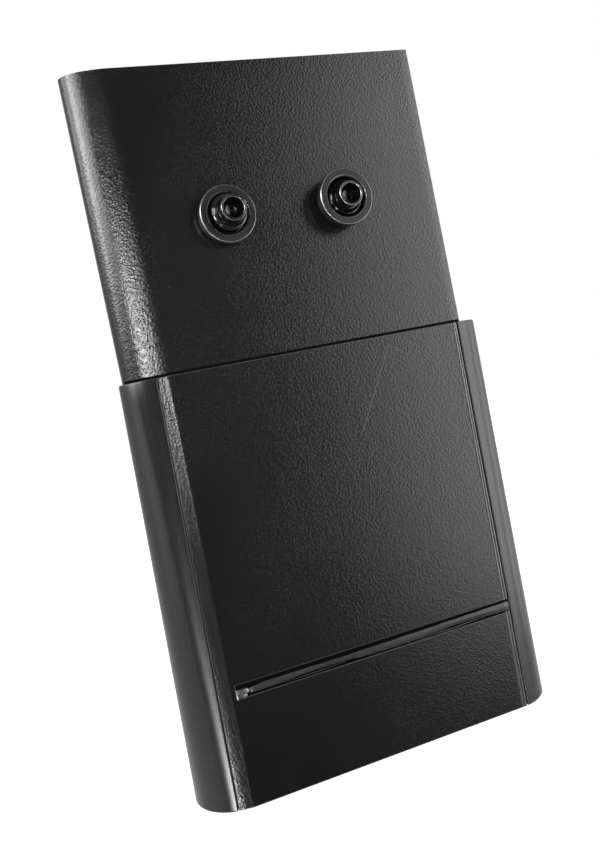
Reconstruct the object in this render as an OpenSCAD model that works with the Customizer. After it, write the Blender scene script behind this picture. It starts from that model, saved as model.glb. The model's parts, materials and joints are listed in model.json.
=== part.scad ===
// Flat telescoping housing.
// A hollow slide with a pair of collared studs runs up and down inside a
// wedge-shaped sleeve. The sleeve is a wrapped rear shell with an inlaid front
// cover, a slot across the cover's foot, a seam bead, and a screwed base plate.
// +Z is up, the front faces -Y, the origin is the centre of the base.

/* [Sleeve] */
// Outer width of the sleeve at its rim (mm)
sleeve_w_top = 140; // [139.5:0.5:140.5]
// Outer width of the sleeve at its base (mm)
sleeve_w_base = 144.4; // [143.9:0.1:144.9]
// Height of the sleeve from base to rim (mm)
sleeve_h = 151; // [150:0.5:152]
// Depth of the sleeve at its rim, front to back (mm)
depth_top = 18; // [18:0.5:19]
// Depth of the sleeve at its base, front to back (mm)
depth_base = 37; // [36:0.5:38]
// Where the flat front ends on the left at the rim, from the centre (mm)
flat_left_top = 54.3; // [54:0.1:54.6]
// Where the flat front ends on the left at the base, from the centre (mm)
flat_left_base = 55.7; // [55.4:0.1:56]
// Where the flat front ends on the right at the rim, from the centre (mm)
flat_right_top = 56.5; // [56.2:0.1:56.7]
// Where the flat front ends on the right at the base, from the centre (mm)
flat_right_base = 54.1; // [53.8:0.1:54.4]
// Wall thickness of the rear shell and the front cover (mm)
wall = 1.2; // [1.1:0.1:1.2]

/* [Cover and slot] */
// Width of the cover's rolled left edge at the rim (mm)
roll_top = 3.6; // [3.4:0.1:3.8]
// Width of the cover's rolled left edge at the base (mm)
roll_base = 5.4; // [5.2:0.1:5.6]
// Height of the slot's lower edge above the base (mm)
groove_z = 37.9; // [37.4:0.1:38.4]
// Height of the cross slot (mm)
groove_h = 4.7; // [4.5:0.1:4.9]
// Width of the bead between the cover and the shell on the right (mm)
bead_w = 2.4; // [2.2:0.1:2.6]

/* [Slide] */
// Height of the slide's top edge above the base, pulled out (mm)
slide_top = 255.5; // [250:0.5:260]
// Height of the slide's bottom edge above the base, pulled out (mm)
slide_bottom = 93; // [92:0.5:94]
// Distance of the slide's square right edge from the centre (mm)
slide_right = 60.7; // [60.5:0.1:60.9]
// Distance of the slide's rounded left side from the centre (mm)
slide_left = 68.6; // [68.3:0.1:68.6]
// Wall thickness of the slide's two shells (mm)
slide_wall = 1.5; // [1.3:0.1:1.7]

/* [Studs] */
// Distance of the left stud from the centre (mm)
stud_left = 23; // [22:0.2:25]
// Distance of the right stud from the centre (mm)
stud_right = 20.5; // [20:0.1:23]
// Height of the studs above the base, slide pulled out (mm)
stud_z = 201.5; // [200:0.5:204]
// Outer radius of the turning collar rings (mm)
ring_r = 10; // [9.6:0.1:10.4]
// How far the left collar is out from its pushed-in place (mm)
left_out = 0; // [0:0.1:3.4]
// How far the right collar is out from its pushed-in place (mm)
right_out = 3.4; // [0:0.1:3.4]

/* [Hidden] */
$fn = 64;
yf = -depth_base / 2;                 // the front plane
gap = 0.3;                            // clearance between sleeve and slide
slide_y0 = wall + gap;                // slide's front face, behind the front plane
slide_d = depth_top - 2 * slide_y0;   // slide's depth
slide_mid = slide_y0 + slide_d / 2;   // the slide's parting line
slide_cx = 55;                        // where the slide's rounded left side begins
skirt_left = 66;                      // the slide's narrower skirt, inside the sleeve
skirt_right = 58.8;
skirt_z = sleeve_h - 2;               // where the skirt begins, slide pulled out
travel = 38;
boss_x = 60;
boss_y = [10, 27];
base_t = 3;                           // base plate's thickness
rail_x = 40;                          // guide rails' distance from the centre
rail_w = 6;
rail_y = slide_y0 + slide_d + 1.0;    // guide rails' running face
stop_z = slide_bottom + 6.8;          // underside of the stop bar
groove_top = groove_z + groove_h;
post_r = 3.0;
spacer_r = 4.0;
collar_t = 4.0;                       // length of a collar
collar_in = 0.95;                     // pushed-in collar's height off the panel
hub_h0 = 5.7;                         // underside of the cone hub
hub_h1 = 9.2;                         // top of the cone hub
tip_h = 12.4;                         // top of the stud
bush_r = 7.8;
hex_af = 6.2;                         // socket's width across flats

// ---- shared shapes -------------------------------------------------------

function arc(cx, cy, rx, ry, a0, a1, n) =
    [for (i = [0:n]) let (a = a0 + (a1 - a0) * i / n) [cx + rx * cos(a), cy + ry * sin(a)]];

// inner face of the sloping back wall, behind the front plane
function back_in(z) = depth_base + (depth_top - depth_base) * z / sleeve_h - wall;

// a measure that changes evenly from the base to the rim
function at_z(base, top, z) = base + (top - base) * z / sleeve_h;

// one level slice of the sleeve: flat front and back, rounded sides; al and ar
// are where the flats end on the left and the right
function slice_pts(w, d, al, ar, inset) = concat(
    arc(-al, d / 2, w / 2 - al - inset, d / 2 - inset, 90, 270, 20),
    arc(ar, d / 2, w / 2 - ar - inset, d / 2 - inset, 270, 450, 20));

// the sleeve's wedge, from its base slice to its rim slice
module wedge(inset, over) {
    a = slice_pts(sleeve_w_base, depth_base, flat_left_base, flat_right_base, inset);
    b = slice_pts(sleeve_w_top, depth_top, flat_left_top, flat_right_top, inset);
    n = len(a);
    translate([0, yf, 0]) polyhedron(
        points = concat([for (p = a) [p[0], p[1], -over]], [for (p = b) [p[0], p[1], sleeve_h + over]]),
        faces = concat(
            [[for (i = [0:n - 1]) i]],
            [[for (i = [0:n - 1]) 2 * n - 1 - i]],
            [for (i = [0:n - 1]) let (j = (i + 1) % n) [i, n + i, n + j]],
            [for (i = [0:n - 1]) let (j = (i + 1) % n) [i, n + j, j]]));
}

// an outline with a rounded left side and a square right edge
module side_outline(left, cx, right, inset) {
    r = max(1.0 - inset, 0.2);
    x1 = right - inset;
    y0 = slide_y0 + inset;
    y1 = slide_y0 + slide_d - inset;
    polygon(concat(
        arc(-cx, slide_mid, left - cx - inset, slide_d / 2 - inset, 90, 270, 24),
        arc(x1 - r, y0 + r, r, r, 270, 360, 6),
        arc(x1 - r, y1 - r, r, r, 0, 90, 6)));
}

// the slide's outline where it shows, and its narrower skirt in the sleeve
module slide2d(inset) { side_outline(slide_left, slide_cx, slide_right, inset); }
module skirt2d(inset) { side_outline(skirt_left, 53, skirt_right, inset); }

// the sleeve's wall, relieved on the inside where the slide runs
module skin() {
    difference() {
        wedge(0, 0);
        wedge(wall, 0.6);
        translate([0, yf, slide_bottom - travel - 5]) linear_extrude(height = 120) skirt2d(-0.28);
        translate([0, yf, skirt_z - travel - 1]) linear_extrude(height = 60) slide2d(-0.28);
    }
}

// a block over part of the front, with sides that follow the taper
module front_zone(a_base, a_top, b_base, b_top, z0, z1, deep) {
    translate([0, yf + deep, 0]) rotate([90, 0, 0]) linear_extrude(height = deep + 1)
        polygon([[at_z(a_base, a_top, z0), z0], [at_z(b_base, b_top, z0), z0],
                 [at_z(b_base, b_top, z1), z1], [at_z(a_base, a_top, z1), z1]]);
}

// puts a stud's piece on the slide's front face, its own +Z pointing out
module at_stud(x) {
    translate([x, yf + slide_y0, stud_z]) rotate([90, 0, 0]) children();
}

module at_both_studs() {
    at_stud(-stud_left) children();
    at_stud(stud_right) children();
}

// a block whose back follows the sloping back wall
module back_prism(x0, x1, y0, z0, z1) {
    translate([x0, yf, 0]) rotate([90, 0, 90])
        linear_extrude(height = x1 - x0)
            polygon([[y0, z0], [back_in(z0) - 0.05, z0], [back_in(z1) - 0.05, z1], [y0, z1]]);
}

// ---- the sleeve ----------------------------------------------------------

// wrapped shell: back, rounded sides, and screw bosses for the base plate
module rear_shell() {
    color("#1b1b1d") {
        difference() {
            union() {
                skin();
                intersection() {
                    wedge(0.4, 0);
                    translate([0, yf, 0]) for (s = [-1, 1], y = boss_y) {
                        translate([s * boss_x, y, base_t + 0.1]) cylinder(r = 3.2, h = 13);
                        translate([s * boss_x + (s > 0 ? 0 : -12), y - 0.8, base_t + 0.1]) cube([12, 1.6, 11]);
                    }
                }
            }
            front_zone(-flat_left_base - roll_base - 0.25, -flat_left_top - roll_top - 0.25,
                       flat_right_base + bead_w + 0.5, flat_right_top + bead_w, -1, sleeve_h + 1, 4);
            translate([0, yf, 0]) for (s = [-1, 1], y = boss_y)
                translate([s * boss_x, y, 0]) cylinder(r = 1.6, h = 14);
        }
    }
}

// inlaid cover with a rolled left edge and a slot that is open at its right end
module front_cover() {
    color("#202022") difference() {
        intersection() {
            skin();
            front_zone(-flat_left_base - roll_base, -flat_left_top - roll_top,
                       flat_right_base, flat_right_top, 0.3, sleeve_h - 0.2, 4);
        }
        translate([-54.3, yf - 1, groove_z]) cube([80 + 54.3, 4, groove_h]);
    }
}

// rib behind the slot that carries the strip and the cover's edges
module cross_rib() {
    color("#18181a") difference() {
        translate([-53, yf + wall, groove_z - 5]) cube([106, 6, groove_h + 10]);
        for (i = [0:5])
            translate([-51 + i * 17.3, yf + wall + 2, groove_z - 3.5]) cube([15.5, 6, groove_h + 7]);
    }
}

// smooth strip lying in the slot, taller toward the right
module groove_strip() {
    color("#38383b") translate([0, yf + wall, groove_z]) rotate([90, 0, 0]) {
        linear_extrude(height = 0.95)
            polygon([[-48.8, 0.5], [-34, 1.1], [-12, 1.5], [0, 1.2], [12, 0.7], [21, 0.7],
                     [32, 1.2], [43, 1.0], [51, 0.6], [53.8, 0.5], [53.8, 3.95], [40, 3.6],
                     [0, 3.2], [-44, 3.1], [-48.8, 2.6]]);
        translate([0, 0, 0.45]) linear_extrude(height = 0.5)
            polygon([[53.8, 0.5], [57.1, 0.5], [57.1, 3.95], [53.8, 3.95]]);
    }
}

// small clip that closes the slot's left end
module strip_tab() {
    color("#4a4a4d") translate([0, yf, groove_z]) {
        translate([-54.2, 0.1, 0.15]) cube([5.2, 1.05, 3.0]);
        translate([-53.9, -0.35, 0.5]) cube([3.6, 0.46, 2.3]);
    }
}

// bead between the cover and the shell, notched where the strip crosses it
module seam_bead() {
    color("#2f2f32") difference() {
        intersection() {
            skin();
            front_zone(flat_right_base + 0.1, flat_right_top + 0.1,
                       flat_right_base + bead_w + 0.15, flat_right_top + bead_w - 0.35,
                       0.3, sleeve_h - 0.2, 4);
        }
        translate([50, yf - 1, groove_z]) cube([12, 1.83, groove_h]);
    }
}

module guide_rail(s) {
    color("#c9c6bd")
        back_prism(s * rail_x - rail_w / 2, s * rail_x + rail_w / 2, rail_y, 6, 128);
}
module guide_rail_left() { guide_rail(-1); }
module guide_rail_right() { guide_rail(1); }

// bar the slide's foot comes up against
module stop_bar() {
    color("#333336")
        back_prism(-30, 30, slide_y0 + slide_d + 0.4, stop_z, stop_z + 7);
}

// felt strip that keeps the slide quiet at the rim
module rim_felt() {
    color("#101010")
        back_prism(-52, 52, slide_y0 + slide_d + 0.15, sleeve_h - 13, sleeve_h - 3);
}

module base_plate() {
    color("#1b1b1d") difference() {
        translate([0, yf, 0]) linear_extrude(height = base_t)
            polygon(slice_pts(sleeve_w_base, depth_base, flat_left_base, flat_right_base, wall + 0.4));
        translate([0, yf, 0]) for (s = [-1, 1], y = boss_y) translate([s * boss_x, y, -1]) {
            cylinder(r = 1.7, h = base_t + 2);
            translate([0, 0, 0.98]) cylinder(r1 = 3.25, r2 = 1.7, h = 1.55);
        }
    }
}

module base_screws() {
    color("#8a8a8c") translate([0, yf, 0]) for (s = [-1, 1], y = boss_y)
        translate([s * boss_x, y, 0.1]) difference() {
            union() {
                cylinder(r1 = 3.0, r2 = 1.5, h = 1.5);
                cylinder(r = 1.5, h = 12);
            }
            translate([0, 0, -0.1]) cylinder(r = 1.15, h = 1.1, $fn = 6);
        }
}

// ---- the slide -----------------------------------------------------------

// one half of the slide's hollow: the part that shows, a shelf, and the skirt
module slide_ring(y0, y1) {
    translate([0, yf, skirt_z]) linear_extrude(height = slide_top - skirt_z) intersection() {
        difference() {
            slide2d(0);
            slide2d(slide_wall);
        }
        translate([-80, y0]) square([160, y1 - y0]);
    }
    translate([0, yf, skirt_z]) linear_extrude(height = 1.6) intersection() {
        difference() {
            slide2d(0.2);
            skirt2d(slide_wall);
        }
        translate([-80, y0]) square([160, y1 - y0]);
    }
    translate([0, yf, slide_bottom]) linear_extrude(height = skirt_z - slide_bottom + 0.6) intersection() {
        difference() {
            skirt2d(0);
            skirt2d(slide_wall);
        }
        translate([-80, y0]) square([160, y1 - y0]);
    }
}

// front shell: face, front half of the rounded left side and of the right side
module slide_front() {
    color("#232326") difference() {
        slide_ring(0, slide_mid - 0.12);
        at_both_studs() translate([0, 0, -3]) cylinder(r = post_r + 0.08, h = 6);
    }
}

// rear shell, notched below for the foot
module slide_back() {
    color("#1e1e20") difference() {
        slide_ring(slide_mid + 0.12, 40);
        translate([-34.9, yf + slide_mid + 2, slide_bottom - 1]) cube([69.8, 20, 5.1]);
    }
}

module top_cap() {
    color("#1a1a1c")
        translate([0, yf, slide_top - 3.4]) linear_extrude(height = 3) slide2d(slide_wall + 0.05);
}

// plug in the slide's lower end, with the lug that meets the stop bar
module slide_foot() {
    color("#2b2b2e") translate([0, yf, slide_bottom]) {
        linear_extrude(height = 4) skirt2d(slide_wall + 0.05);
        translate([-34.8, slide_y0 + slide_d - 3, 0]) cube([69.6, 3 + 5, 4]);
        translate([-34.8, slide_y0 + slide_d + 0.2, 0]) cube([69.6, 4.8, 6.5]);
    }
}

module friction_pad(s) {
    color("#6b6b66")
        translate([s * rail_x - 2.5, yf + slide_y0 + slide_d, slide_bottom + 4]) cube([5, 0.92, 22]);
}
module friction_pad_left() { friction_pad(-1); }
module friction_pad_right() { friction_pad(1); }

// ---- the studs' fixed pieces ---------------------------------------------

// stiffening plate behind the slide's face
module stud_plate() {
    color("#9a9a9c") difference() {
        translate([-stud_left - 13, yf + slide_y0 + slide_wall, stud_z - 14])
            cube([stud_left + stud_right + 26, 2, 28]);
        at_both_studs() translate([0, 0, -5]) cylinder(r = post_r + 0.08, h = 6);
    }
}

module stud_gaskets() {
    color("#0e0e0e") at_both_studs() difference() {
        cylinder(r = 7.5, h = 0.8);
        translate([0, 0, -1]) cylinder(r = spacer_r + 0.1, h = 3);
    }
}

// tubes the collars slide along
module stud_spacers() {
    color("#55555a") at_both_studs() difference() {
        cylinder(r = spacer_r, h = hub_h0);
        translate([0, 0, -1]) cylinder(r = post_r + 0.08, h = hub_h0 + 2);
    }
}

module stud_washers() {
    color("#a9a9ab") at_both_studs() translate([0, 0, -slide_wall - 2.8]) difference() {
        cylinder(r = 6.2, h = 0.8);
        translate([0, 0, -1]) cylinder(r = post_r + 0.15, h = 3);
    }
}

module stud_nuts() {
    color("#a9a9ab") at_both_studs() translate([0, 0, -slide_wall - 6.4]) difference() {
        cylinder(r = 5.77, h = 3.6, $fn = 6);
        translate([0, 0, -1]) cylinder(r = post_r + 0.05, h = 6);
    }
}

// flared hub under the stud's head
module hub() {
    color("#141416") rotate_extrude() polygon([
        [post_r + 0.08, hub_h0], [6.1, hub_h0], [6.3, hub_h0 + 0.2], [6.3, hub_h0 + 1.0],
        [6.0, hub_h0 + 1.25], [5.75, hub_h0 + 1.35], [5.3, hub_h0 + 1.9], [4.95, hub_h0 + 2.6],
        [4.75, hub_h0 + 3.2], [4.7, hub_h1], [post_r + 0.08, hub_h1]]);
}
module hub_left() { at_stud(-stud_left) hub(); }
module hub_right() { at_stud(stud_right) hub(); }

// screw post: threaded shank, ring head and hexagon socket
module post() {
    color("#1d1d20") difference() {
        rotate_extrude() polygon([
            [0, -9.3], [2.6, -9.3], [post_r, -8.9], [post_r, hub_h1], [4.2, hub_h1],
            [4.4, hub_h1 + 0.2], [4.4, tip_h - 0.25], [4.15, tip_h], [3.85, tip_h],
            [3.62, tip_h - 0.25], [3.62, tip_h - 0.6], [0, tip_h - 0.6]]);
        // hexagon socket with a round pocket below it
        translate([0, 0, hub_h1 + 0.4]) cylinder(r = hex_af / 2 / cos(30), h = 3, $fn = 6);
        translate([0, 0, hub_h1 - 1.6]) cylinder(r = 2.2, h = 3);
    }
}
module post_left() { at_stud(-stud_left) post(); }
module post_right() { at_stud(stud_right) post(); }

// ---- the moving collars --------------------------------------------------

// bush that slides along the stud; its recess surrounds the hub
module bush() {
    color("#101012") rotate_extrude() polygon([
        [spacer_r + 0.06, 0], [7.4, 0], [bush_r, 0.3], [bush_r, 1.4], [8.5, 1.5], [8.5, 2.5],
        [bush_r, 2.6], [bush_r, collar_t - 0.25], [7.6, collar_t - 0.05], [7.35, collar_t - 0.05],
        [7.1, collar_t - 0.4], [6.75, 1.5], [6.3, 1.2], [spacer_r + 0.06, 1.2]]);
}
module bush_left() { at_stud(-stud_left) translate([0, 0, collar_in + left_out]) bush(); }
module bush_right() { at_stud(stud_right) translate([0, 0, collar_in + right_out]) bush(); }

// collar ring that turns on the bush
module ring() {
    color("#3a3a3d") rotate_extrude() polygon([
        [bush_r + 0.06, 0], [ring_r - 0.5, 0], [ring_r, 0.5], [ring_r, collar_t - 0.4],
        [ring_r - 0.4, collar_t], [bush_r + 0.4, collar_t], [bush_r + 0.06, collar_t - 0.3],
        [bush_r + 0.06, 2.7], [8.58, 2.62], [8.58, 1.38], [bush_r + 0.06, 1.3]]);
}
module ring_left() { at_stud(-stud_left) translate([0, 0, collar_in + left_out]) ring(); }
module ring_right() { at_stud(stud_right) translate([0, 0, collar_in + right_out]) ring(); }

// ---- assembly ------------------------------------------------------------

rear_shell();
front_cover();
cross_rib();
groove_strip();
strip_tab();
seam_bead();
guide_rail_left();
guide_rail_right();
stop_bar();
rim_felt();
base_plate();
base_screws();
slide_front();
slide_back();
top_cap();
slide_foot();
friction_pad_left();
friction_pad_right();
stud_plate();
stud_gaskets();
stud_spacers();
stud_washers();
stud_nuts();
hub_left();
hub_right();
post_left();
post_right();
bush_left();
bush_right();
ring_left();
ring_right();
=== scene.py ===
import bpy, bmesh, json, math
from mathutils import Matrix, Vector


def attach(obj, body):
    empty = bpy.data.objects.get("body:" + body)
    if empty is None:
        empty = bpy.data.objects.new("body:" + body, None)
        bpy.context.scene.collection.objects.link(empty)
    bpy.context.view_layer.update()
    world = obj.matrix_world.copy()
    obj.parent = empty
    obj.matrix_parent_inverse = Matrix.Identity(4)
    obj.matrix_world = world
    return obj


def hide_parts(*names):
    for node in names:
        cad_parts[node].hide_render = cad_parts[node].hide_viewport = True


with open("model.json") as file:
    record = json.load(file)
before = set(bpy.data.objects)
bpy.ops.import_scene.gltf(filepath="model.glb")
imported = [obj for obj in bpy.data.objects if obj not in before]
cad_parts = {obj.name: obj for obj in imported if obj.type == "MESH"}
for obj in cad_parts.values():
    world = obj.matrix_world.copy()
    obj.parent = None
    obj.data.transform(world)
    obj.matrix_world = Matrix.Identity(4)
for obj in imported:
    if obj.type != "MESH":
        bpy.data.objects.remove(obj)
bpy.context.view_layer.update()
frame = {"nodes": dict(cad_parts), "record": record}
S = 0.001                      # the numbers below are millimetres in the row frame

# ---------------------------------------------------------------- dimensions
H = 151.0                      # sleeve's rim
W0, W1 = 144.4, 140.0          # sleeve's width, base and rim
D0, D1 = 37.0, 18.0            # sleeve's depth, base and rim
AL0, AL1 = 55.7, 54.3          # flat front's left end
AR0, AR1 = 54.1, 56.5          # flat front's right end
RO0, RO1 = 5.4, 3.6            # cover's rolled left edge
YF = -D0 / 2
WALL = 1.2
BEAD = 2.4
GZ, GH = 37.9, 4.7             # slot
SY0, SD, SMID = 1.5, 15.0, 9.0 # slide: front face, depth, parting line
TOP, BOT, SKZ = 255.5, 93.0, 149.0
XL, XR, ZS = -23.0, 20.5, 201.5


def lerp(a, b, t):
    return a + (b - a) * t


def at(base, top, z):
    return base + (top - base) * z / H


# ---------------------------------------------------------------- mesh helpers
def make(name, verts, faces, body, bevel=0.2, segs=2, angle=38, solid=None, flip=False):
    me = bpy.data.meshes.new(name)
    me.from_pydata([(x * S, y * S, z * S) for x, y, z in verts], [], faces)
    if flip:
        me.flip_normals()
    me.validate()
    if not solid:
        bm = bmesh.new()
        bm.from_mesh(me)
        bmesh.ops.recalc_face_normals(bm, faces=bm.faces)
        bm.to_mesh(me)
        bm.free()
    ob = bpy.data.objects.new(name, me)
    bpy.context.scene.collection.objects.link(ob)
    for p in me.polygons:
        p.use_smooth = True
    if solid:
        m = ob.modifiers.new("Wall", "SOLIDIFY")
        m.thickness = solid * S
        m.offset = -1
        m.use_even_offset = True
    if bevel:
        m = ob.modifiers.new("Edge", "BEVEL")
        m.width = bevel * S
        m.segments = segs
        m.limit_method = "ANGLE"
        m.angle_limit = math.radians(angle)
        m.harden_normals = True
        m.use_clamp_overlap = True
    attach(ob, body)
    return ob


def grid(rows, skip=None):
    """Quads between rows of points; skip(i, j) leaves a cell out."""
    n = len(rows[0])
    verts = [p for r in rows for p in r]
    faces = []
    for j in range(len(rows) - 1):
        for i in range(n - 1):
            if skip and skip(i, j):
                continue
            faces.append((j * n + i, j * n + i + 1, (j + 1) * n + i + 1, (j + 1) * n + i))
    used = sorted({v for f in faces for v in f})
    back = {v: k for k, v in enumerate(used)}
    return [verts[v] for v in used], [tuple(back[v] for v in f) for f in faces]


def fillet(prof, r, n=3):
    """Rounds the corners of a profile of (radius, height) points; hexagon stations stay sharp."""
    out = []
    m = len(prof)
    for i, p in enumerate(prof):
        a, b = prof[i - 1], prof[(i + 1) % m]
        if isinstance(p[0], tuple) or isinstance(a[0], tuple) or isinstance(b[0], tuple) or p[0] < 0.05:
            out.append(p)
            continue
        va, vb = Vector((a[0] - p[0], a[1] - p[1])), Vector((b[0] - p[0], b[1] - p[1]))
        if va.length < 1e-6 or vb.length < 1e-6 or va.angle(vb) > math.radians(168):
            out.append(p)
            continue
        d = min(r, 0.42 * va.length, 0.42 * vb.length)
        q0 = Vector(p) + va.normalized() * d
        q1 = Vector(p) + vb.normalized() * d
        for k in range(n + 1):
            t = k / n
            q = q0 * (1 - t) ** 2 + Vector(p) * 2 * t * (1 - t) + q1 * t * t
            out.append((q[0], q[1]))
    return out


def lathe(name, prof, x, h0, body, n=96, bevel=0.1, segs=3, close=True, angle=25):
    """Turned piece on a stud's axis. prof is (radius, height) or (("hex", af), height)."""
    prof = fillet(prof, bevel, segs)
    verts, faces = [], []
    for r, h in prof:
        for k in range(n):
            a = 2 * math.pi * k / n
            if isinstance(r, tuple):
                d = (math.degrees(a) + 30) % 60 - 30
                rr = r[1] / 2 / math.cos(math.radians(d))
            else:
                rr = r
            verts.append((x + rr * math.cos(a), YF + SY0 - (h0 + h), ZS + rr * math.sin(a)))
    m = len(prof)
    for j in range(m if close else m - 1):
        jn = (j + 1) % m
        for k in range(n):
            kn = (k + 1) % n
            faces.append((j * n + k, j * n + kn, jn * n + kn, jn * n + k))
    if not close:
        faces.append(tuple(range(n))[::-1])
        faces.append(tuple((m - 1) * n + k for k in range(n)))
    ob = make(name, verts, faces, body, 0)
    ob.data.set_sharp_from_angle(angle=math.radians(42))
    m = ob.modifiers.new("Normals", "WEIGHTED_NORMAL")
    m.keep_sharp = True
    m.weight = 80
    return ob


# ---------------------------------------------------------------- outlines
def crease(u):
    """Extra fall-away just outside the front's flat, so that its end is a real crease."""
    return 0.24 * u * math.exp(-u / 5.0)


def soft_kink(u, s=2.6):
    """The same fall-away with its start rounded over s either side."""
    v = 0.0 if u <= -s else (u + s) ** 2 / (4 * s) if u < s else u
    return 0.25 * v * math.exp(-v / 5.0)


def side_pt(z, th, side):
    """A point of the sleeve's rounded side at height z; th in degrees, 270 is the front."""
    d = at(D0, D1, z)
    w = at(W0, W1, z) / 2
    a = at(AL0, AL1, z) if side < 0 else at(AR0, AR1, z)
    x = side * a + (w - a) * math.cos(math.radians(th))
    y = d / 2 + d / 2 * math.sin(math.radians(th))
    if y < d / 2 and side < 0:
        y += crease(abs(x) - a)
    return (x, YF + y, z)


def side_angle(z, b, side):
    """The angle at which the outline is b outside the flat's end."""
    w = at(W0, W1, z) / 2
    a = at(AL0, AL1, z) if side < 0 else at(AR0, AR1, z)
    t = math.degrees(math.asin(b / (w - a)))
    return 270 - t if side < 0 else 270 + t


def zrows(z0, z1, n):
    return [lerp(z0, z1, k / n) for k in range(n + 1)]


# ---------------------------------------------------------------- the sleeve
rows = []
for z in zrows(0.12, H - 0.9, 20) + [H - 0.45, H]:
    b = at(RO0, RO1, z) + 0.25
    a0 = side_angle(z, b, -1)
    r = [side_pt(z, lerp(a0, 90, (k / 56) ** 1.0), -1) for k in range(57)]
    back0, back1 = side_pt(z, 90, -1), side_pt(z, 90, 1)
    r += [tuple(lerp(back0[i], back1[i], k / 14) for i in range(3)) for k in range(1, 14)]
    a1 = side_angle(z, BEAD + (0.5 * (1 - z / H)), 1)
    r += [side_pt(z, lerp(450, a1, k / 56), 1) for k in range(57)]
    lean = 0.19 * max(0.0, (z - H + 0.9) / 0.9)
    if lean:
        q = []
        for x, y, zz in r:
            d = Vector((max(-52.0, min(54.0, x)) - x, YF + D1 / 2 - y)).normalized() * lean
            q.append((x + d[0], y + d[1], zz))
        r = q
    rows.append(r)
v, f = grid(rows)
shell = make("sleeve_shell", v, f, "sleeve", bevel=0.42, segs=3, angle=45, solid=0.8, flip=True)
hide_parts("rear_shell")

# the inlaid cover: rolled left edge, flat front, slot open at its right end
xs_flat = [-54.3] + [-54.3 + (54.0 + 54.3) * k / 36 for k in range(1, 36)]
zs = zrows(0.3, GZ, 6) + zrows(GZ, GZ + GH, 2)[1:] + zrows(GZ + GH, H - 0.15, 16)[1:]
rows = []
for z in zs:
    a0 = side_angle(z, at(RO0, RO1, z), -1)
    r = [side_pt(z, lerp(a0, 270, k / 10), -1) for k in range(11)]
    al, ar = -at(AL0, AL1, z), at(AR0, AR1, z)
    r += [(al + 0.25, YF, z), (al + 0.8, YF, z)]
    r += [(lerp(al + 1.4, ar, k / 36), YF, z) for k in range(37)]
    rows.append(r)
v, f = grid(rows, skip=lambda i, j: i >= 13 and GZ - 0.01 <= zs[j] < GZ + GH - 0.01)
cover = make("sleeve_cover", v, f, "sleeve", bevel=0.3, segs=3, angle=50, solid=WALL)
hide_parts("front_cover")


def ribbon(name, prof, body, bevel=0.06, segs=2, angle=30, slotname=None):
    """A closed section carried through several stations. prof is a list of stations, each a loop of points."""
    n = len(prof[0])
    verts = [p for st in prof for p in st]
    faces = []
    for j in range(len(prof) - 1):
        for i in range(n):
            k = (i + 1) % n
            faces.append((j * n + i, j * n + k, (j + 1) * n + k, (j + 1) * n + i))
    faces.append(tuple(range(n))[::-1])
    faces.append(tuple((len(prof) - 1) * n + i for i in range(n)))
    return make(name, verts, faces, body, bevel, segs, angle)


# the bead: a raised lip, a flat land, a second fine ridge, then the gap beside the shell
def bead(name, z0, z1):
    st = []
    for z in zrows(z0, z1, 8):
        x0 = at(AR0, AR1, z) + 0.12
        x1 = side_pt(z, side_angle(z, BEAD + 0.5 * (1 - z / H) - 0.45, 1), 1)[0]
        w = x1 - x0
        sec = [(0.0, 1.1), (0.0, 0.14), (0.05, 0.0), (0.14, -0.06), (0.58, -0.005), (0.68, 0.2), (0.82, 0.46),
               (w - 0.95, 0.38), (w - 0.88, 0.14), (w - 0.80, 0.05), (w - 0.40, 0.10), (w - 0.28, 0.3), (w - 0.05, 0.5), (w, 0.6), (w, 1.25)]
        st.append([(x0 + a, YF + b, z) for a, b in sec][::-1])
    return ribbon(name, st, "sleeve", bevel=0.05)


b1 = bead("seam_bead_upper", GZ + GH + 0.0, H - 0.2)
b2 = bead("seam_bead_lower", 0.3, GZ + 0.3)
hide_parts("seam_bead")
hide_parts("seam_bead")

# the smooth strip in the slot: a rounded slat, thin and broken below
TOPE = [(-49.2, 40.4), (-44, 41.0), (-30, 41.05), (-15, 40.9), (0, 41.05), (17, 41.2), (35, 41.5), (56.6, 41.75)]
BOTE = [(-49.2, 38.7), (-44, 38.6), (-36, 38.8), (-30, 39.3), (-20, 39.4), (-12, 39.2), (-6, 38.6), (4, 38.4), (12, 38.4),
        (24, 38.8), (32, 39.2), (42, 39.1), (49, 38.5), (56.6, 38.4)]


def interp(tab, x):
    for (x0, y0), (x1, y1) in zip(tab, tab[1:]):
        if x <= x1:
            t = max(0.0, (x - x0) / (x1 - x0))
            t = t * t * (3 - 2 * t)
            return lerp(y0, y1, t)
    return tab[-1][1]


st = []
for k in range(61):
    x = lerp(-49.2, 56.9, k / 60)
    zt, zb = interp(TOPE, x), interp(BOTE, x)
    zt += 0.05 * math.sin(x * 0.7)
    zb += 0.07 * math.sin(x * 1.3 + 1)
    c, hh = (zt + zb) / 2, (zt - zb) / 2
    loop = [(x, YF + 1.05, zb)]
    for a in range(0, 13):
        t = math.pi * a / 12
        loop.append((x, YF + 0.42 - 0.34 * math.sin(t) ** 0.8, c - hh * math.cos(t)))
    loop.append((x, YF + 1.05, zt))
    st.append(loop)
strip = ribbon("groove_slat", st, "sleeve", bevel=0)
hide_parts("groove_strip")

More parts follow.
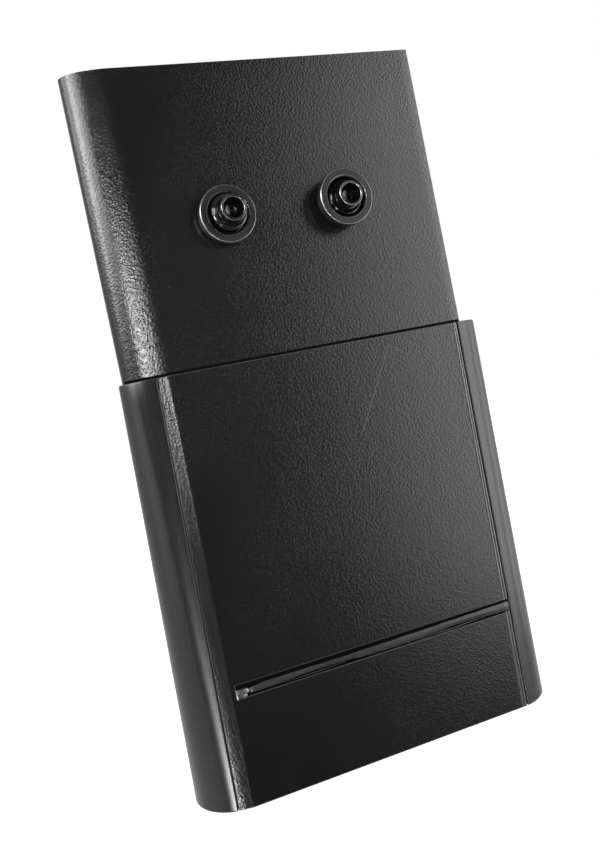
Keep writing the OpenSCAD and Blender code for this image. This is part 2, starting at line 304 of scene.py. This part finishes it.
# the torn lower lip of the slot: two slim slivers standing under the slat
for nm, xa, xb, za, zb_, th in (("lip_left", -36, -13, 38.35, 38.75, 0.42), ("lip_mid", 16, 46, 38.2, 38.6, 0.5)):
    st = []
    for k in range(25):
        t = k / 24
        x = lerp(xa, xb, t)
        c = lerp(za, zb_, t) + 0.08 * math.sin(t * 9)
        hh = th * (0.25 + 0.75 * math.sin(math.pi * min(1, max(0, t))) ** 0.7) / 2
        st.append([(x, YF + 0.95, c - hh), (x, YF + 0.5, c - hh), (x, YF + 0.38, c), (x, YF + 0.5, c + hh), (x, YF + 0.95, c + hh)])
    o = ribbon(nm, st, "sleeve", bevel=0)

# the small bright clip at the slot's left end
st = []
clip = [(-54.1, 37.7), (-54.25, 39.2), (-54.1, 40.9), (-53.2, 41.05), (-52.0, 40.85), (-50.6, 41.0), (-49.6, 40.6),
        (-49.3, 39.6), (-50.1, 38.9), (-50.4, 38.0), (-51.4, 37.6), (-52.4, 38.3), (-53.3, 38.0)]
for y, sc in ((1.1, 1.0), (0.1, 1.0), (-0.18, 0.92), (-0.3, 0.72)):
    cx, cz = -51.9, 39.4
    st.append([(cx + (x - cx) * sc, YF + y, cz + (z - cz) * sc) for x, z in clip])
tab = ribbon("slot_clip", st, "sleeve", bevel=0.12, segs=2, angle=20)
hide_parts("strip_tab")
st = []
for y, sc in ((0.0, 1.0), (-0.32, 0.8), (-0.42, 0.35)):
    st.append([(-51.0 + 0.75 * sc * math.cos(a * math.pi / 5), YF + y, 38.55 + 0.5 * sc * math.sin(a * math.pi / 5)) for a in range(10)])
tab2 = ribbon("slot_clip_nib", st, "sleeve", bevel=0.05)

# the thin black wiper lip that stands out of the sleeve's mouth against the slide; standing 0.85 mm over the rim in
# dead matte black, it is painted shade for the dark shadow gap above the rim
def wiper_path():
    pts = []
    for k in range(37):
        t = math.radians(lerp(196, 270, k / 36))
        px = -55 + 13.6 * math.cos(t)
        pts.append(Vector((px, SMID + 7.5 * math.sin(t) + soft_kink(-55 - px))))
    pts += [Vector((-55 + 0.6 * k, SY0 + soft_kink(-0.6 * k))) for k in range(1, 5)]
    pts += [Vector((lerp(-52.0, 60.1, k / 24), SY0)) for k in range(1, 25)]
    return pts


st = []
path = wiper_path()
for i, q in enumerate(path):
    d = path[min(i + 1, len(path) - 1)] - path[max(i - 1, 0)]
    nx, ny = d[1], -d[0]
    ln = math.hypot(nx, ny)
    nx, ny = nx / ln, ny / ln
    st.append([(q[0] + nx * o, YF + q[1] + ny * o, z) for o, z in
               ((0.06, 147.0), (0.26, 147.0), (0.26, H + 0.35), (0.20, H + 0.80), (0.07, H + 0.85))])
wiper = ribbon("mouth_wiper", st, "sleeve", bevel=0)

# base plate: left to the CAD node, which has the same outline inside the wall and its four countersinks


# ---------------------------------------------------------------- the slide
def slide_pts(left, cx, right, front, z):
    """Half an outline of the slide from the left parting line to the right one."""
    gap = 0.12
    rx, ry = left - cx, SD / 2
    r = 0.55
    pts = []
    if front:
        a0 = 180 + math.degrees(math.asin(gap / ry))
        for k in range(41):
            t = lerp(a0, 270, k / 40)
            px = -cx + rx * math.cos(math.radians(t))
            pts.append((px, SMID + ry * math.sin(math.radians(t)) + soft_kink(-cx - px)))
        pts += [(-cx + 0.4 * k, SY0 + soft_kink(-0.4 * k)) for k in range(1, 8)]
        pts.append((-cx + 3.4, SY0))
        for k in range(1, 31):
            pts.append((lerp(-cx + 3.4, right - r, k / 30), SY0))
        for k in range(1, 7):
            t = math.radians(270 + 90 * k / 6)
            pts.append((right - r + r * math.cos(t), SY0 + r + r * math.sin(t)))
        for k in range(1, 6):
            pts.append((right, lerp(SY0 + r, SMID - gap, k / 5)))
    else:
        for k in range(6):
            pts.append((right, lerp(SMID + gap, SY0 + SD - r, k / 5)))
        for k in range(1, 7):
            t = math.radians(90 * k / 6)
            pts.append((right - r + r * math.cos(t), SY0 + SD - r + r * math.sin(t)))
        for k in range(1, 31):
            pts.append((lerp(right - r, -cx, k / 30), SY0 + SD))
        a1 = 180 - math.degrees(math.asin(gap / ry))
        for k in range(1, 41):
            t = lerp(90, a1, k / 40)
            pts.append((-cx + rx * math.cos(math.radians(t)), SMID + ry * math.sin(math.radians(t))))
    return [(x, YF + y, z) for x, y in pts]


for nm, front in (("slide_face", True), ("slide_rear", False)):
    rows = [slide_pts(66, 53, 58.8, front, z) for z in zrows(BOT, SKZ - 0.4, 5)]
    rows += [slide_pts(68.6, 55, 60.7, front, z) for z in [SKZ, SKZ + 0.15, SKZ + 0.4, SKZ + 0.8, SKZ + 1.5, SKZ + 2.5, SKZ + 4] + zrows(155.7, TOP, 15)]
    v, f = grid(rows)
    o = make(nm, v, f, "slide", bevel=0.22, segs=3, angle=50, solid=1.5)
    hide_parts("slide_front" if front else "slide_back")

# ---------------------------------------------------------------- the studs
HUB = [(3.08, 5.7), (6.1, 5.7), (6.3, 5.9), (6.3, 6.75), (6.05, 7.0), (5.75, 7.08), (5.45, 7.35), (5.2, 7.8),
       (5.0, 8.35), (4.85, 8.85), (4.78, 9.2), (3.08, 9.2)]
POST = [(0.01, -9.3), (2.6, -9.3), (3.0, -8.9), (3.0, 9.2), (4.2, 9.2), (4.4, 9.4), (4.4, 12.22), (4.24, 12.4),
        (3.78, 12.4), (3.62, 12.22), (3.62, 11.8), (("hex", 6.2), 11.8), (("hex", 6.2), 9.6),
        (2.2, 9.6), (2.2, 7.9), (0.01, 7.5)]
BUSH = [(4.06, 0), (7.4, 0), (7.8, 0.3), (7.8, 1.4), (8.5, 1.5), (8.5, 2.5), (7.8, 2.6), (7.8, 3.98), (7.72, 3.98),
        (7.38, 3.70), (7.15, 3.3), (6.95, 2.6), (6.75, 1.5), (6.3, 1.2), (4.06, 1.2)]
RING = [(7.86, 0), (9.5, 0), (10.0, 0.5), (10.0, 3.70), (9.74, 3.98), (7.92, 3.98), (7.86, 3.92), (7.86, 2.7), (8.58, 2.62),
        (8.58, 1.38), (7.86, 1.3)]
TAGS = {}                      # piece: (which material a face takes, axis x, foot height)


# face 1, inside the hex socket, takes the dead matte black: painted shade in the hollow
def post_faces(r, h):
    if r < 3.63 and 8.2 < h < 12.12:
        return 1
    return 2 if h > 12.2 and (r > 4.23 or r < 3.79) else 0


# faces on the chamfered edges (post head, bush, ring) take the silvery painted edge highlight
def bush_faces(r, h):
    return 1 if 7.34 < r < 7.76 and h > 3.66 else 0


def ring_faces(r, h):
    return 1 if r > 9.72 and h > 3.66 else 0


for side, x, out in (("left", XL, 0.0), ("right", XR, 3.4)):
    TAGS["stud_post_" + side] = (post_faces, x, 0, ("void", "stud_edge_painted_highlight"))
    TAGS["collar_bush_" + side] = (bush_faces, x, 0.95 + out, ("stud_edge_painted_highlight",))
    TAGS["collar_ring_" + side] = (ring_faces, x, 0.95 + out, ("stud_edge_painted_highlight",))
    o = lathe("stud_hub_" + side, HUB, x, 0, "slide", bevel=0.06)
    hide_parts("hub_" + side)
    o = lathe("stud_post_" + side, POST, x, 0, "slide", bevel=0.05, close=False, angle=28)
    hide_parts("post_" + side)
    o = lathe("collar_bush_" + side, BUSH, x, 0.95 + out, "collar_bush_" + side, bevel=0.06)
    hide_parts("bush_" + side)
    o = lathe("collar_ring_" + side, RING, x, 0.95 + out, "collar_ring_" + side, bevel=0.09)
    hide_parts("ring_" + side)


# ---------------------------------------------------------------- materials
class Nodes:
    def __init__(self, name, base, rough, metallic=0.0, spec=0.5, coat=0.0):
        self.m = bpy.data.materials.new(name)
        self.m.use_nodes = True
        self.t = self.m.node_tree
        self.b = self.t.nodes["Principled BSDF"]
        self.b.inputs["Base Color"].default_value = (*base, 1)
        self.b.inputs["Roughness"].default_value = rough
        self.b.inputs["Metallic"].default_value = metallic
        self.b.inputs["Specular IOR Level"].default_value = spec
        if coat:
            self.b.inputs["Coat Weight"].default_value = coat
            self.b.inputs["Coat Roughness"].default_value = 0.08
        self.co = self.t.nodes.new("ShaderNodeTexCoord").outputs["Object"]

    def link(self, a, b):
        self.t.links.new(a, b)

    def scaled(self, sx, sy, sz):
        n = self.t.nodes.new("ShaderNodeMapping")
        n.inputs["Scale"].default_value = (sx, sy, sz)
        self.link(self.co, n.inputs["Vector"])
        return n.outputs["Vector"]

    def noise(self, vec, scale, detail=3, rough=0.5):
        n = self.t.nodes.new("ShaderNodeTexNoise")
        n.inputs["Scale"].default_value = scale
        n.inputs["Detail"].default_value = detail
        n.inputs["Roughness"].default_value = rough
        self.link(vec, n.inputs["Vector"])
        return n.outputs["Fac"]

    def voronoi(self, vec, scale, feature="F1"):
        n = self.t.nodes.new("ShaderNodeTexVoronoi")
        n.feature = feature
        n.inputs["Scale"].default_value = scale
        self.link(vec, n.inputs["Vector"])
        return n.outputs["Distance"]

    def ramp(self, fac, lo, hi, a=0.0, b=1.0):
        n = self.t.nodes.new("ShaderNodeMapRange")
        n.clamp = True
        n.interpolation_type = "SMOOTHSTEP"
        for k, v in (("From Min", lo), ("From Max", hi), ("To Min", a), ("To Max", b)):
            n.inputs[k].default_value = v
        self.link(fac, n.inputs["Value"])
        return n.outputs["Result"]

    def math(self, op, a, b):
        n = self.t.nodes.new("ShaderNodeMath")
        n.operation = op
        for i, x in enumerate((a, b)):
            if isinstance(x, (int, float)):
                n.inputs[i].default_value = x
            else:
                self.link(x, n.inputs[i])
        return n.outputs[0]

    def mix(self, fac, a, b):
        n = self.t.nodes.new("ShaderNodeMix")
        n.data_type = "RGBA"
        self.link(fac, n.inputs[0])
        for i, x in ((6, a), (7, b)):
            if isinstance(x, tuple):
                n.inputs[i].default_value = (*x, 1)
            else:
                self.link(x, n.inputs[i])
        return n.outputs[2]

    def scratch(self, a, b, width):
        """1 along a fine line from a to b on the front, in millimetres (x, z), and 0 off it."""
        def vec(op, x, y, scale=None):
            n = self.t.nodes.new("ShaderNodeVectorMath")
            n.operation = op
            for i, q in enumerate((x, y)):
                if isinstance(q, tuple):
                    n.inputs[i].default_value = q
                elif q is not None:
                    self.link(q, n.inputs[i])
            if scale is not None:
                self.link(scale, n.inputs["Scale"])
            return n
        d = ((b[0] - a[0]) * S, 0.0, (b[1] - a[1]) * S)
        flat = vec("MULTIPLY", self.co, (1.0, 0.0, 1.0)).outputs["Vector"]
        p = vec("SUBTRACT", flat, (a[0] * S, 0.0, a[1] * S)).outputs["Vector"]
        t = self.math("MULTIPLY", vec("DOT_PRODUCT", p, d).outputs["Value"], 1.0 / (d[0] ** 2 + d[2] ** 2))
        t = self.math("MINIMUM", self.math("MAXIMUM", t, 0.0), 1.0)
        q = vec("SCALE", d, None, t).outputs["Vector"]
        return self.ramp(vec("DISTANCE", p, q).outputs["Value"], 0.25 * width * S, width * S, 1.0, 0.0)

    def color(self, out):
        self.link(out, self.b.inputs["Base Color"])

    def rough(self, out):
        self.link(out, self.b.inputs["Roughness"])

    def bump(self, *pairs):
        prev = None
        for h, dist, strength in pairs:
            n = self.t.nodes.new("ShaderNodeBump")
            n.inputs["Distance"].default_value = dist
            n.inputs["Strength"].default_value = strength
            self.link(h, n.inputs["Height"])
            if prev is not None:
                self.link(prev, n.inputs["Normal"])
            prev = n.outputs["Normal"]
        self.link(prev, self.b.inputs["Normal"])


def grained(name, scratches=False):
    k = Nodes(name, (0.003, 0.003, 0.0032), 0.24, spec=0.5)
    v = k.scaled(1, 1, 1)
    cells = k.voronoi(v, 1150)
    pores = k.noise(v, 2100, 1, 0.5)
    patch = k.noise(v, 22, 4, 0.6)
    fine = k.noise(v, 1300, 2, 0.6)
    h = k.math("ADD", k.ramp(cells, 0.05, 0.7, 1, 0), k.math("MULTIPLY", pores, 0.8))
    k.rough(k.math("ADD", k.ramp(patch, 0.3, 0.7, 0.205, 0.235), k.ramp(fine, 0.3, 0.7, -0.03, 0.05)))
    base = k.mix(patch, (0.0025, 0.0025, 0.0027), (0.0035, 0.0035, 0.0037))
    if scratches:
        marks = None
        for a, b in (((28.5, 147.0), (11.9, 118.4)), ((28.5, 147.0), (35.5, 142.4))):
            m = k.scratch(a, b, 0.22)
            marks = m if marks is None else k.math("MAXIMUM", marks, m)
        base = k.mix(k.math("MULTIPLY", marks, 0.5), base, (0.03, 0.03, 0.032))
        h = k.math("SUBTRACT", h, k.math("MULTIPLY", marks, 1.2))
    k.color(base)
    k.bump((h, 0.00005, 0.66))
    return k


def shell_mat(name):
    k = Nodes(name, (0.006, 0.006, 0.0066), 0.24, spec=0.5)
    v = k.scaled(1, 1, 1)
    long = k.scaled(1, 1, 0.012)
    streak = k.noise(long, 900, 3, 0.6)
    wide = k.noise(long, 260, 2, 0.5)
    fine = k.noise(v, 900, 3, 0.6)
    k.rough(k.math("ADD", k.ramp(wide, 0.3, 0.7, 0.20, 0.30), k.ramp(fine, 0.3, 0.7, -0.01, 0.02)))
    k.color(k.mix(streak, (0.005, 0.005, 0.0055), (0.008, 0.008, 0.0088)))
    k.bump((wide, 0.00006, 0.35), (streak, 0.00001, 0.4), (fine, 0.000004, 0.4))
    return k


def plain(name, base, rough, metallic=0.0, spec=0.5, coat=0.0, scale=700, var=0.06, bump=0.000006, brushed=None):
    k = Nodes(name, base, rough, metallic, spec, coat)
    v = k.scaled(*(brushed or (1, 1, 1)))
    a = k.noise(v, scale, 4, 0.6)
    b = k.noise(k.scaled(1, 1, 1), 60, 3, 0.6)
    k.rough(k.math("ADD", k.ramp(a, 0.3, 0.7, rough - var, rough + var), k.ramp(b, 0.3, 0.7, -var / 2, var / 2)))
    k.color(k.mix(b, tuple(c * 0.8 for c in base), tuple(min(1, c * 1.2) for c in base)))
    k.bump((a, bump, 0.5))
    return k


MAT = {
    "grained": grained("leather_grain_plastic").m,
    "grained_worn": grained("leather_grain_plastic_scratched", True).m,
    # a paler edge colour: painted highlight along the bevelled rims of the cover and the shell
    "rim_painted_highlight": plain("rim_painted_highlight", (0.02, 0.02, 0.021), 0.34, spec=0.5, scale=900, var=0.05, bump=0.000004).m,
    # dead matte black with almost no sheen: painted shade inside the studs' sockets and on the wiper lip
    "void": plain("matte_black_painted_shade", (0.0012, 0.0012, 0.0012), 0.85, spec=0.04, bump=0.00001).m,
    "bead": plain("smooth_bead", (0.028, 0.028, 0.029), 0.24, spec=0.65, var=0.02, bump=0.000001, brushed=(1, 1, 0.02)).m,
    # silvery metal on the studs' chamfers: painted highlight for their thin bright edge lines
    "stud_edge_painted_highlight": plain("stud_edge_painted_highlight", (0.28, 0.28, 0.29), 0.3, metallic=1.0, scale=1500, var=0.06, bump=0.000001).m,
    "shell": shell_mat("drawn_satin_plastic").m,
    "inner": plain("moulded_plastic", (0.02, 0.02, 0.022), 0.5, bump=0.00002).m,
    "strip": plain("smooth_strip", (0.014, 0.014, 0.015), 0.26, brushed=(0.05, 1, 1)).m,
    "clip": plain("dull_clip", (0.35, 0.35, 0.36), 0.3, metallic=1.0, bump=0.00003).m,
    "rail": plain("natural_nylon", (0.6, 0.58, 0.52), 0.45).m,
    "felt": plain("pressed_felt", (0.03, 0.03, 0.03), 0.95, spec=0.1, scale=1600, bump=0.0001).m,
    "steel": plain("plain_steel", (0.45, 0.45, 0.46), 0.32, metallic=1.0).m,
    "zinc": plain("zinc_plate", (0.55, 0.55, 0.56), 0.36, metallic=1.0).m,
    "gasket": plain("rubber_gasket", (0.012, 0.012, 0.012), 0.7, spec=0.25).m,
    "black_gloss": plain("polished_black", (0.002, 0.002, 0.0022), 0.10, spec=0.45, var=0.03, bump=0.000001).m,
    "black_steel": plain("blackened_steel", (0.003, 0.003, 0.0033), 0.16, spec=0.5, var=0.04, bump=0.000001).m,
    "ring_paint": plain("black_enamel", (0.006, 0.006, 0.0064), 0.36, spec=0.3, var=0.04, bump=0.000004).m,
}
SLOT = {s["node"]: s["material_slot"] for s in frame["record"]["subparts"]}
BY_NAME = {
    "sleeve_shell": "shell", "sleeve_cover": "grained_worn", "slide_face": "grained", "slide_rear": "shell",
    "seam_bead_upper": "bead", "seam_bead_lower": "bead", "groove_slat": "strip", "lip_left": "strip", "lip_mid": "strip",
    "slot_clip": "clip", "slot_clip_nib": "clip", "mouth_wiper": "void",
}
for side in ("left", "right"):
    BY_NAME["stud_hub_" + side] = "black_gloss"
    BY_NAME["stud_post_" + side] = "black_steel"
    BY_NAME["collar_bush_" + side] = "black_gloss"
    BY_NAME["collar_ring_" + side] = "ring_paint"
for name, sl in BY_NAME.items():
    ob = bpy.data.objects[name]
    ob.data.materials.clear()
    ob.data.materials.append(MAT[sl])
    if name in ("sleeve_cover", "sleeve_shell"):     # the bevelled edges are made paler: a painted highlight for the light line along the rims
        ob.data.materials.append(MAT["rim_painted_highlight"])
        ob.modifiers["Edge"].material = 1
    if name in TAGS:
        pick, ax, foot, extra = TAGS[name]
        for e in extra:
            ob.data.materials.append(MAT[e])
        for p in ob.data.polygons:
            c = p.center / S
            p.material_index = pick(math.hypot(c.x - ax, c.z - ZS), YF + SY0 - foot - c.y)
for name, ob in frame["nodes"].items():
    ob.data.materials.clear()
    ob.data.materials.append(MAT["void"] if name == "cross_rib" else MAT[SLOT[name]])
    for p in ob.data.polygons:
        p.material_index = 0


# ---------------------------------------------------------------- stage, light, camera
def stage_plane(name, size_x, size_y, loc, rot=None):
    me = bpy.data.meshes.new(name)
    a, b = size_x / 2, size_y / 2
    me.from_pydata([(-a, -b, 0), (a, -b, 0), (a, b, 0), (-a, b, 0)], [], [(0, 1, 2, 3)])
    ob = bpy.data.objects.new(name, me)
    bpy.context.scene.collection.objects.link(ob)
    ob.location = loc
    if rot is not None:
        ob.rotation_euler = rot
    return ob


floor = stage_plane("floor", 6, 6, (0, 0, -0.0002))
fm = bpy.data.materials.new("pale_floor")
fm.use_nodes = True
fb = fm.node_tree.nodes["Principled BSDF"]
fb.inputs["Base Color"].default_value = (0.35, 0.35, 0.35, 1)
fb.inputs["Roughness"].default_value = 0.9
fb.inputs["Specular IOR Level"].default_value = 0.1
fb.inputs["Emission Color"].default_value = (1, 1, 1, 1)
fb.inputs["Emission Strength"].default_value = 0.86
ft = fm.node_tree
fco = ft.nodes.new("ShaderNodeTexCoord")
fl = ft.nodes.new("ShaderNodeVectorMath")
fl.operation = "LENGTH"
ft.links.new(fco.outputs["Object"], fl.inputs[0])
fr = ft.nodes.new("ShaderNodeMapRange")
fr.name = "fade"
fr.interpolation_type = "SMOOTHSTEP"
fr.inputs["From Min"].default_value = 0.15
fr.inputs["From Max"].default_value = 0.7
fr.inputs["To Min"].default_value = 0.86
fr.inputs["To Max"].default_value = 1.02
ft.links.new(fl.outputs["Value"], fr.inputs["Value"])
ft.links.new(fr.outputs[0], fb.inputs["Emission Strength"])
floor.data.materials.append(fm)
floor.visible_glossy = False
floor.visible_shadow = False

MID = Vector((0.0, -0.01, 0.13))


def softbox(name, az, el, dist, w, h, power, fade=0.25, roll=0.0):
    """An emitting panel facing the object. az from -Y toward +X, el above the horizon."""
    a, e = math.radians(az), math.radians(el)
    d = Vector((math.sin(a) * math.cos(e), -math.cos(a) * math.cos(e), math.sin(e)))
    ob = stage_plane(name, w, h, MID + d * dist)
    z = -d
    x = Vector((0, 0, 1)).cross(z).normalized()
    y = z.cross(x)
    if roll:
        r = math.radians(roll)
        x, y = x * math.cos(r) + y * math.sin(r), y * math.cos(r) - x * math.sin(r)
    ob.rotation_euler = Matrix((x, y, z)).transposed().to_euler()
    ob.visible_camera = False
    m = bpy.data.materials.new(name + "_light")
    m.use_nodes = True
    t = m.node_tree
    t.nodes.clear()
    out = t.nodes.new("ShaderNodeOutputMaterial")
    em = t.nodes.new("ShaderNodeEmission")
    geo = t.nodes.new("ShaderNodeNewGeometry")
    tc = t.nodes.new("ShaderNodeTexCoord")
    sep = t.nodes.new("ShaderNodeSeparateXYZ")
    t.links.new(tc.outputs["Object"], sep.inputs[0])
    prod = None
    for ax, half in (("X", w / 2), ("Y", h / 2)):
        ab = t.nodes.new("ShaderNodeMath"); ab.operation = "ABSOLUTE"
        t.links.new(sep.outputs[ax], ab.inputs[0])
        mr = t.nodes.new("ShaderNodeMapRange")
        mr.interpolation_type = "SMOOTHSTEP"
        mr.inputs["From Min"].default_value = half * (1 - fade)
        mr.inputs["From Max"].default_value = half
        mr.inputs["To Min"].default_value = 1
        mr.inputs["To Max"].default_value = 0
        t.links.new(ab.outputs[0], mr.inputs["Value"])
        if prod is None:
            prod = mr.outputs[0]
        else:
            mu = t.nodes.new("ShaderNodeMath"); mu.operation = "MULTIPLY"
            t.links.new(prod, mu.inputs[0]); t.links.new(mr.outputs[0], mu.inputs[1])
            prod = mu.outputs[0]
    front = t.nodes.new("ShaderNodeMath"); front.operation = "SUBTRACT"
    front.inputs[0].default_value = 1.0
    t.links.new(geo.outputs["Backfacing"], front.inputs[1])
    mu = t.nodes.new("ShaderNodeMath"); mu.operation = "MULTIPLY"
    t.links.new(prod, mu.inputs[0]); t.links.new(front.outputs[0], mu.inputs[1])
    mp = t.nodes.new("ShaderNodeMath"); mp.operation = "MULTIPLY"
    mp.name = "power"
    t.links.new(mu.outputs[0], mp.inputs[0]); mp.inputs[1].default_value = power
    t.links.new(mp.outputs[0], em.inputs["Strength"])
    t.links.new(em.outputs[0], out.inputs["Surface"])
    ob.data.materials.append(m)
    return ob


softbox("strip_right_a", 30, 5, 1.0, 0.20, 1.2, 2.6, fade=0.3)
softbox("strip_right_b", 43, 5, 1.0, 0.26, 1.2, 6.2, fade=0.3)
softbox("strip_right_c", 62, 5, 1.0, 0.45, 1.2, 4.0, fade=0.3)
softbox("strip_right_d", 88, 5, 1.0, 0.45, 1.2, 2.4, fade=0.3)
softbox("softbox_left_a", -42, 24, 1.0, 0.25, 0.50, 9.0, fade=0.3)
softbox("softbox_left_b", -62, 24, 1.0, 0.40, 0.50, 16.5, fade=0.3)
softbox("softbox_left_c", -90, 26, 1.0, 0.50, 0.45, 5.5, fade=0.3)
front_box = softbox("softbox_front", -21, 6.8, 1.0, 0.28, 0.17, 44.0, fade=0.4)
high_box = softbox("softbox_front_high", -18, 16.5, 1.0, 0.30, 0.12, 1.6, fade=0.3)
softbox("softbox_low", -38, -32, 1.0, 0.26, 0.20, 50.0, fade=0.6)
softbox("softbox_low_b", -38, -21, 1.0, 0.26, 0.16, 4.0, fade=0.4)
softbox("softbox_side", -75, -5, 1.0, 0.6, 0.35, 1.4, fade=0.3)

# the front box is flagged off the shell, whose side stays dark beside the bright rolled edge
flag = bpy.data.collections.new("flagged_off")
flag.objects.link(shell)
flag.collection_objects[0].light_linking.link_state = "EXCLUDE"
for ob in (front_box, high_box):
    ob.light_linking.receiver_collection = flag

world = bpy.data.worlds.new("studio")
bpy.context.scene.world = world
world.use_nodes = True
t = world.node_tree
t.nodes.clear()
out = t.nodes.new("ShaderNodeOutputWorld")
cam_bg = t.nodes.new("ShaderNodeBackground")
cam_bg.inputs["Color"].default_value = (1, 1, 1, 1)
cam_bg.inputs["Strength"].default_value = 1.0
env_bg = t.nodes.new("ShaderNodeBackground")
env_bg.inputs["Color"].default_value = (1, 1, 1, 1)
env_bg.inputs["Strength"].default_value = 1.0
# the room round the object: dim behind the camera, pale at the sides and the back
tc = t.nodes.new("ShaderNodeTexCoord")
sep = t.nodes.new("ShaderNodeSeparateXYZ")
t.links.new(tc.outputs["Generated"], sep.inputs[0])
mr = t.nodes.new("ShaderNodeMapRange")
mr.name = "room"
mr.interpolation_type = "SMOOTHSTEP"
mr.inputs["From Min"].default_value = -0.8
mr.inputs["From Max"].default_value = -0.15
mr.inputs["To Min"].default_value = 0.02
mr.inputs["To Max"].default_value = 0.78
t.links.new(sep.outputs["Y"], mr.inputs["Value"])
t.links.new(mr.outputs[0], env_bg.inputs["Strength"])
lp = t.nodes.new("ShaderNodeLightPath")
mx = t.nodes.new("ShaderNodeMixShader")
t.links.new(lp.outputs["Is Camera Ray"], mx.inputs[0])
t.links.new(env_bg.outputs[0], mx.inputs[1])
t.links.new(cam_bg.outputs[0], mx.inputs[2])
t.links.new(mx.outputs[0], out.inputs["Surface"])

scene = bpy.context.scene
scene.view_settings.view_transform = "Standard"
scene.view_settings.look = "None"
scene.view_settings.exposure = 0.0
scene.view_settings.gamma = 1.0

cam = bpy.data.cameras.new("camera")
cob = bpy.data.objects.new("camera", cam)
scene.collection.objects.link(cob)
az, el, roll = math.radians(-19.1888), math.radians(2.157), math.radians(-11.6109)
back = Vector((math.sin(az) * math.cos(el), -math.cos(az) * math.cos(el), math.sin(el)))
right = Vector((0, 0, 1)).cross(back).normalized()
up = back.cross(right)
right, up = right * math.cos(roll) + up * math.sin(roll), up * math.cos(roll) - right * math.sin(roll)
cob.matrix_world = Matrix.Translation((-0.11007, -0.30047, 0.13588)) @ Matrix((right, up, back)).transposed().to_4x4()
cam.sensor_width = 36
cam.sensor_fit = "AUTO"
cam.lens = 35.588
cam.clip_start = 0.01
cam.clip_end = 50
scene.camera = cob
